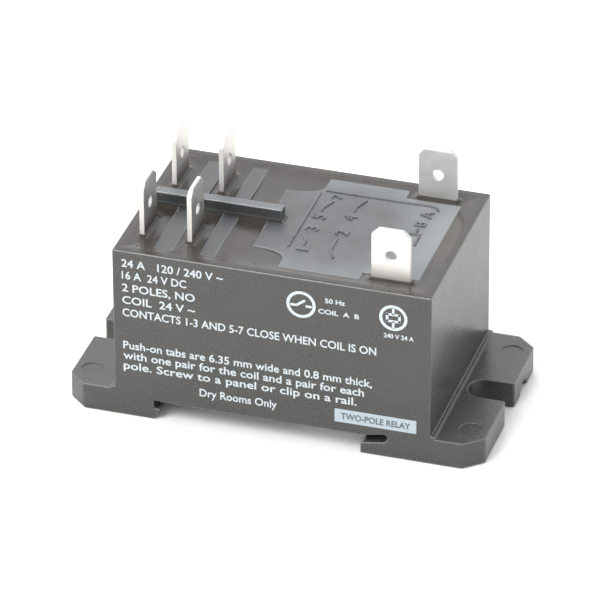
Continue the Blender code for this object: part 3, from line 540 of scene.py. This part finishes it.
housingPlastic = mouldedPlastic(
    "housingPlastic", (0.038, 0.038, 0.0345), (0.055, 0.055, 0.051), (0.15, 0.15, 0.145), 0.28, 0.32 * mm,
    paintedShade=paintedMarkShade,
)
headerPlastic = mouldedPlastic(
    "headerPlastic", (0.046, 0.051, 0.053), (0.078, 0.085, 0.089), (0.20, 0.215, 0.225), 0.38, 0.34 * mm,
    paintedPlateSheen, paintedRibShade,
)
markPlastic = mouldedPlastic(
    "markPlastic", (0.038, 0.042, 0.045), (0.066, 0.073, 0.078), (0.18, 0.195, 0.205), 0.40, 0.30 * mm
)
epoxy = pouredEpoxy()
contactTin = tinPlate("contactTin", "X", (0.33, 0.30, 0.265))
coilTin = tinPlate("coilTin", "Y", (0.66, 0.64, 0.60))
silver = rolledMetal("contactSilver", (0.86, 0.85, 0.82), (0.66, 0.63, 0.58), 0.28)
copper = rolledMetal("bladeCopper", (0.72, 0.38, 0.23), (0.52, 0.25, 0.14), 0.30)
iron = rolledMetal("magnetIron", (0.52, 0.52, 0.53), (0.38, 0.38, 0.38), 0.38)
steel = rolledMetal("springSteel", (0.66, 0.66, 0.66), (0.48, 0.48, 0.49), 0.26)
nylon = softPlastic("bobbinNylon", (0.62, 0.59, 0.52), (0.52, 0.49, 0.42), 0.45, 0.05)
tape = softPlastic("coilTape", (0.70, 0.50, 0.06), (0.60, 0.40, 0.04), 0.26)
redPlastic = softPlastic("carrierPlastic", (0.48, 0.05, 0.035), (0.34, 0.035, 0.028), 0.42)
sleeve = softPlastic("leadSleeve", (0.66, 0.64, 0.57), (0.55, 0.53, 0.46), 0.5)
enamel = woundWire("windingCopper", (0.62, 0.26, 0.09), (0.24, 0.07, 0.02), 0.25 * mm)
braid = woundWire("copperBraid", (0.75, 0.42, 0.26), (0.32, 0.15, 0.08), 0.22 * mm)
whiteInk = printInk("whiteInk", (0.50, 0.555, 0.585), (0.34, 0.38, 0.40))
plateInk = printInk("plateInk", (0.35, 0.412, 0.45), (0.30, 0.36, 0.40))
darkInk = printInk("darkInk", (0.10, 0.12, 0.14), (0.05, 0.06, 0.07))
print("finishes are mixed")

insideFinishes = [
    (iron, ["yoke", "core", "armature"]),
    (steel, ["rail_spring", "rail_spring_rivet", "return_spring"]),
    (steel, ["carrier_rivet_front", "carrier_rivet_rear", "blade_rivet_front", "blade_rivet_rear"]),
    (copper, ["contact_blade_front", "contact_blade_rear", "shading_ring"]),
    (braid, ["braid_front", "braid_rear"]),
    (silver, ["fixed_contact_front", "fixed_contact_rear", "moving_contact_front", "moving_contact_rear"]),
    (nylon, ["bobbin"]),
    (enamel, ["coil_winding"]),
    (tape, ["coil_tape"]),
    (redPlastic, ["contact_carrier"]),
    (sleeve, ["coil_lead_front", "coil_lead_rear"]),
]
for finish, names in insideFinishes:
    for name in names:
        nodes[name].material_slots[0].material = finish


def placePiece(piece, material, body, stands=()):
    piece.data.materials.clear()
    piece.data.materials.append(material)
    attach(piece, body)
    if stands:
        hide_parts(*stands)


# housing

shell = {  # in millimetres
    "edge": 0.42,  # rounding of the feet's edges
    "edgeSteps": 3,
    "rim": 30.4,
    "footTop": 4.65,
    "halfLength": 26.2,
    "halfWidth": 17.0,
    "cavityInset": 0.2,
    "cavityFrom": 4.35,
    "mouthFrom": 30.3,
    "markOut": 2,  # the ejector marks lie further than this out from the body's end
    "markAside": 8,  # and further than this from its middle line
    "markEdge": 0.8,  # their circles' edges are shorter than this
    "ledge": (-0.1, 0.6),  # round the foot's top
    "channelTop": 4.2,
    "channelInset": 4,
    "share": {  # parts of the rounding
        "foot": 1.0, "body": 0.6, "ledge": 0.4, "channel": 0.35, "mouth": 0.2, "mark": 0.12, "cavity": 0.0,
    },
}


def shellEdgeShare(middle, edge):
    x, y, z = abs(middle.x) - shell["halfLength"], abs(middle.y), middle.z
    share, overFoot = shell["share"], z - shell["footTop"]
    inside = x < -shell["cavityInset"] and y < shell["halfWidth"] - shell["cavityInset"]
    if inside and z > shell["cavityFrom"]:
        return share["cavity"] if z < shell["mouthFrom"] else share["mouth"]
    onMark = x > shell["markOut"] and y > shell["markAside"] and overFoot > -0.2
    if onMark and edge.calc_length() < shell["markEdge"] * mm:
        return share["mark"]
    if x > -0.05 and shell["ledge"][0] < overFoot < shell["ledge"][1]:
        return share["ledge"]
    if x < 0.1:
        inChannel = z < shell["channelTop"] and x < -shell["channelInset"]
        return share["channel"] if inChannel else share["body"]
    return share["foot"]


def makeHousing():
    housing = copyNode("housing", "housingShell")
    roundEdges(housing, shell["edge"], shell["edgeSteps"], shellEdgeShare)
    placePiece(housing, housingPlastic, "root", ["housing"])


makeHousing()
print("housing is made")

# header, with its islands and raised line marks

plate = {  # in millimetres
    "edge": 0.20,
    "edgeSteps": 3,
    "islandTop": 30.3,
    "islandEdges": 29.7,  # edges above this are rounded
    "ribEdges": 32.05,  # and those above this more so
    "ribShare": 1.6,
}


def plateEdgeShare(middle, edge):
    if middle.z > plate["ribEdges"]:
        return plate["ribShare"]
    return 1.0 if middle.z > plate["islandEdges"] else 0.0


def makeHeader():
    header = copyNode("header", "headerPlate")
    roundEdges(header, plate["edge"], plate["edgeSteps"], plateEdgeShare)
    placePiece(header, headerPlastic, "root", ["header"])


makeHeader()

marks = {  # in millimetres
    "width": 0.40,
    "height": 0.20,
    "sunk": 0.1,
    "edge": 0.10,
    "bold": 0.03,
    "smoothBelow": 35,  # degrees
    "strokes": [  # corners of each bent stroke, on the large island
        [(0.05, -7.9), (0.05, 9.5)],
        [(0.7, 10.5), (18.2, 10.5), (19.2, 10.15), (19.8, 9.2)],
        [(2.3, -6.7), (2.3, -5.6), (1.2, -3.4)],
        [(1.9, 4.1), (1.9, 5.2), (2.9, 7.6)],
        [(7.9, -9.3), (6.8, -7.0), (6.8, -3.4)],
        [(6.9, 5.3), (6.9, 6.7), (7.9, 9.3)],
        [(17.3, -2.0), (17.3, 1.4), (19.0, 1.4), (19.0, -2.0)],
        [(18.15, 1.65), (18.15, 3.2)],
    ],
    "digits": [  # text, middle, size
        ("1", (2.5, -8.3), 2.9),
        ("3", (2.1, -1.5), 3.1),
        ("5", (2.1, 2.3), 3.1),
        ("7", (3.1, 9.1), 2.4),
        ("2", (7.0, -1.5), 3.1),
        ("4", (6.9, 3.4), 3.1),
        ("A", (18.3, 7.6), 2.9),
        ("B", (18.2, 4.6), 2.6),
    ],
    "digitTurn": 90,
}


def makeStroke(points):
    clearSelection()
    first = Vector((*points[0], plate["islandTop"] - marks["sunk"]))
    bpy.ops.mesh.primitive_plane_add(size=marks["edge"] * mm, location=first * mm)
    stroke = settle("stroke")
    openMesh(stroke, "VERT")
    bpy.ops.mesh.select_all(action="SELECT")
    bpy.ops.mesh.merge(type="CENTER")
    for start, end in zip(points, points[1:]):
        run = ((end[0] - start[0]) * mm, (end[1] - start[1]) * mm, 0)
        bpy.ops.mesh.extrude_vertices_move(TRANSFORM_OT_translate={"value": run})
    bpy.ops.mesh.select_all(action="SELECT")
    rise = (0, 0, (marks["height"] + marks["sunk"]) * mm)
    bpy.ops.mesh.extrude_region_move(TRANSFORM_OT_translate={"value": rise})
    closeMesh()
    applyModifier(stroke, "SOLIDIFY", thickness=marks["width"] * mm, offset=0, use_even_offset=True)
    applyModifier(stroke, "BEVEL", width=marks["edge"] * mm, segments=2)
    return stroke


def addText(text, size, height, bold):  # a mesh text in the XY plane, from the origin, sizes in millimetres
    clearSelection()
    bpy.ops.object.text_add(location=(0, 0, 0))
    words = bpy.context.object
    words.data.body = text
    words.data.size = size * mm
    words.data.extrude = height / 2 * mm
    words.data.offset = bold * mm
    words.data.resolution_u = 3
    bpy.ops.object.convert(target="MESH")
    return bpy.context.object


def meshSpan(piece):
    corners = [Vector(corner) for corner in piece.bound_box]
    return Vector(map(min, zip(*corners))), Vector(map(max, zip(*corners)))


def makeDigit(text, middle, size):
    digit = addText(text, size, marks["height"] + marks["sunk"], marks["bold"])
    low, high = meshSpan(digit)
    digit.data.transform(Matrix.Translation(-(low + high) / 2))
    digit.rotation_euler.z = math.radians(marks["digitTurn"])
    level = plate["islandTop"] + (marks["height"] - marks["sunk"]) / 2
    digit.location = Vector((*middle, level)) * mm
    return settle("digit")


def makeMarks():
    raised = [makeStroke(points) for points in marks["strokes"]]
    raised += [makeDigit(*digit) for digit in marks["digits"]]
    piece = joinAll("diagramMarks", raised)
    smoothByAngle(piece, marks["smoothBelow"])
    placePiece(piece, markPlastic, "root")


makeMarks()
print("header is made")

# poured seal: a liquid skin that climbs the rim, the islands and the tabs

seal = {  # in millimetres
    "level": 30.05,
    "cell": 0.19,
    "rimInner": (24.9, 15.7),
    "rimOuter": (25.93, 16.73),
    "film": 0.035,  # thin film left on the rim
    "climb": {  # height and reach
        "rim": (0.37, 2.0),
        "island": (0.08, 0.22),
        "rib": (0.45, 0.70),
        "tab": (0.42, 0.40),
        "coil": (0.65, 0.60),
    },
    "steepness": 1.25,
    "overlap": 0.3,  # the part that the lesser climbs add
    "depth": 0.85,
    "pits": 16,
    "pitDepth": 0.16,
    "pitReach": (0.16, 0.28),
    "seed": 7,
    "smoothBelow": 50,  # degrees
}
islandBoxes = [  # x from and to, and the half width
    (-20.2, -16.9, 14.4),
    (-12.7, -10.0, 14.4),
    (-5.4, 0.3, 9.1),
    (0.3, 13.625, 14.4),
    (13.6, 22.8, 12.0),
]
ribBox = (-24.4, -3.1, -0.95, 0.95)  # x from and to, y from and to
tabSize = {"thick": 0.8, "wide": 6.35}
tabPlaces = [(x, y) for x in (-23.0, -15.1) for y in (-8.2, 8.2)]
coilPlaces = [(18.6, y) for y in (-13.2, 13.2)]


def boxAround(place, sizeX, sizeY):
    x, y = place
    return (x - sizeX / 2, x + sizeX / 2, y - sizeY / 2, y + sizeY / 2)


climbers = [("island", (low, high, -half, half)) for low, high, half in islandBoxes]
climbers += [("tab", boxAround(place, tabSize["thick"], tabSize["wide"])) for place in tabPlaces]
climbers += [("coil", boxAround(place, tabSize["wide"], tabSize["thick"])) for place in coilPlaces]
climbers += [("rib", ribBox)]


def distanceToBox(x, y, box):
    return math.hypot(max(box[0] - x, 0, x - box[1]), max(box[2] - y, 0, y - box[3]))


def climbOf(kind, distance):
    height, reach = seal["climb"][kind]
    return height * math.exp(-((distance / reach) ** seal["steepness"]))


def sealHeight(x, y, pits):
    inX, inY = seal["rimInner"]
    over = max(abs(x) - inX, abs(y) - inY)
    if over >= 0:
        return shell["rim"] + seal["film"]
    rise = [climbOf("rim", -over)]
    rise += [climbOf(kind, distanceToBox(x, y, box)) for kind, box in climbers]
    dip = sum(math.exp(-((math.hypot(x - px, y - py) / reach) ** 2)) for px, py, reach in pits)
    highest = max(rise)
    return seal["level"] + highest + seal["overlap"] * (sum(rise) - highest) - seal["pitDepth"] * dip


def makeSeal():
    outX, outY = seal["rimOuter"]
    random.seed(seal["seed"])
    pits = [
        (random.uniform(-outX, outX), random.uniform(-outY, outY), random.uniform(*seal["pitReach"]))
        for _ in range(seal["pits"])
    ]
    clearSelection()
    bpy.ops.mesh.primitive_grid_add(
        x_subdivisions=round(2 * outX / seal["cell"]), y_subdivisions=round(2 * outY / seal["cell"]), size=2
    )
    bpy.context.object.scale = (outX * mm, outY * mm, 1)
    skin = settle("epoxySeal")
    for point in skin.data.vertices:
        point.co.z = sealHeight(point.co.x / mm, point.co.y / mm, pits) * mm
    pick(skin, lambda edge: edge.is_boundary, "EDGE")
    bpy.ops.mesh.extrude_region_move(TRANSFORM_OT_translate={"value": (0, 0, -seal["depth"] * mm)})
    bpy.ops.mesh.edge_face_add()
    bpy.ops.mesh.select_all(action="SELECT")
    bpy.ops.mesh.normals_make_consistent(inside=False)
    closeMesh()
    smoothByAngle(skin, seal["smoothBelow"])
    placePiece(skin, epoxy, "root", ["epoxy_seal"])


makeSeal()
print("seal is poured")

# terminals

blade = {  # in millimetres
    "edge": 0.07,
    "edgeSteps": 2,
    "foot": 30.7,  # edges above this are rounded
}


def bladeEdgeShare(middle, edge):
    return 1.0 if middle.z > blade["foot"] else 0.0


def makeTerminals():
    for name in sorted(n for n in nodes if "terminal" in n):
        tab = copyNode(name, name.replace("_terminal", "Tab").replace("normally_open", "normallyOpen"))
        roundEdges(tab, blade["edge"], blade["edgeSteps"], bladeEdgeShare)
        placePiece(tab, coilTin if "coil" in name else contactTin, "root", [name])


makeTerminals()
print("terminals are made")

# printing on the front

ink = {  # in millimetres
    "height": 0.03,
    "sunk": 0.005,
    "bold": 0.028,
    "capHeight": 0.73,  # of a capital, as a share of the text's size
    "ringCorners": 56,
}
ratingLines = [  # text, left end, right end, baseline, height of a capital
    ("24 A   120 / 240 V ~", -24.6, -7.8, 27.6, 1.45),
    ("16 A  24 V DC", -24.6, -13.9, 25.4, 1.45),
    ("2 POLES, NO", -24.6, -12.5, 23.1, 1.45),
    ("COIL  24 V ~", -24.6, -12.5, 20.85, 1.45),
    ("CONTACTS 1-3 AND 5-7 CLOSE WHEN COIL IS ON", -24.6, 17.3, 18.55, 1.45),
    ("Push-on tabs are 6.35 mm wide and 0.8 mm thick,", -24.6, 16.6, 12.5, 1.45),
    ("with one pair for the coil and a pair for each", -24.6, 15.3, 10.6, 1.45),
    ("pole. Screw to a panel or clip on a rail.", -24.6, 14.1, 8.7, 1.45),
    ("Dry Rooms Only", -11.95, 0.9, 5.8, 1.45),
    ("50 Hz", 8.9, 12.2, 26.75, 0.85),
    ("COIL  A  B", 7.8, 14.5, 24.7, 0.85),
    ("240 V 24 A", 18.5, 23.4, 22.2, 0.8),
]
symbols = [  # ringed signs on the front, with their bars from and to, counted from the middle
    {  # a make contact
        "middle": (5.0, 25.75), "radius": 2.4, "ring": 0.5, "line": 0.42,
        "bars": [
            ((-1.75, -0.2), (-0.75, -0.2)), ((-0.75, -0.2), (0.65, 0.85)), ((0.75, -0.2), (1.75, -0.2)),
        ],
    },
    {  # a coil
        "middle": (20.05, 25.9), "radius": 2.3, "ring": 0.5, "line": 0.42,
        "bars": [
            ((-1.15, -0.6), (1.15, -0.6)), ((-1.15, 0.6), (1.15, 0.6)),
            ((-1.0, -0.75), (-1.0, 0.75)), ((1.0, -0.75), (1.0, 0.75)),
            ((0, 0.6), (0, 1.9)), ((0, -1.9), (0, -0.6)),
        ],
    },
]


def onFront(x, z, out=0.0):  # a place on the front face, from millimetres
    return Vector((x, -shell["halfWidth"] - out, z)) * mm


def makeLine(text, left, right, baseline, capital, height=ink["height"]):
    words = addText(text, capital / ink["capHeight"], height, ink["bold"])
    low, high = meshSpan(words)
    stretch = (right - left) * mm / (high.x - low.x)
    words.data.transform(Matrix.Scale(stretch, 4, (1, 0, 0)) @ Matrix.Translation((-low.x, 0, 0)))
    words.rotation_euler.x = math.radians(90)
    words.location = onFront(left, baseline, height / 2 - ink["sunk"])
    return settle("printLine")


def makeRing(middle, radius, width):
    clearSelection()
    bpy.ops.mesh.primitive_circle_add(
        vertices=ink["ringCorners"], radius=radius * mm, fill_type="NGON",
        rotation=(math.radians(90), 0, 0), location=onFront(*middle),
    )
    ring = settle("printRing")
    pick(ring, lambda face: True)
    bpy.ops.mesh.inset(thickness=width * mm)
    bpy.ops.mesh.delete(type="FACE")
    bpy.ops.mesh.select_all(action="SELECT")
    bpy.ops.mesh.extrude_region_move(TRANSFORM_OT_translate={"value": (0, -ink["height"] * mm, 0)})
    bpy.ops.mesh.select_all(action="SELECT")
    bpy.ops.mesh.normals_make_consistent(inside=False)
    closeMesh()
    return ring


def makeBar(start, end, width):  # a printed bar between two places on the front, x and z
    run = end - start
    low = Vector((0, -ink["height"], -width / 2)) * mm
    high = Vector((run.length, ink["sunk"], width / 2)) * mm
    bar = addBlock("printBar", low, high)
    bar.rotation_euler.y = -math.atan2(run.y, run.x)
    bar.location = onFront(*start)
    return settle("printBar")


def makeSymbol(symbol):
    middle = Vector(symbol["middle"])
    pieces = [makeRing(middle, symbol["radius"], symbol["ring"])]
    for start, end in symbol["bars"]:
        pieces.append(makeBar(middle + Vector(start), middle + Vector(end), symbol["line"]))
    return pieces


def makePrint():
    pieces = [makeLine(*line) for line in ratingLines]
    for symbol in symbols:
        pieces += makeSymbol(symbol)
    placePiece(joinAll("ratingPrint", pieces), whiteInk, "root")


nameTag = {  # in millimetres
    "low": (10.45, 5.2),
    "high": (23.9, 7.6),
    "corner": 0.12,
    "words": ("TWO-POLE RELAY", 11.5, 22.9, 5.85, 1.15),
    "wordsHeight": 0.075,
}


def makeNamePlate():
    front = onFront(*nameTag["low"], ink["height"])
    back = onFront(*nameTag["high"], -ink["sunk"])
    patch = addBlock("namePlate", front, back)
    pick(patch, lambda edge: abs(edge.verts[0].co.y - edge.verts[1].co.y) > ink["sunk"] * mm, "EDGE")
    bpy.ops.mesh.bevel(offset=nameTag["corner"] * mm, segments=3)
    closeMesh()
    placePiece(patch, plateInk, "root")
    words = makeLine(*nameTag["words"], height=nameTag["wordsHeight"])
    words.name = "namePlateWords"
    placePiece(words, darkInk, "root")


makePrint()
makeNamePlate()
print("front is printed")
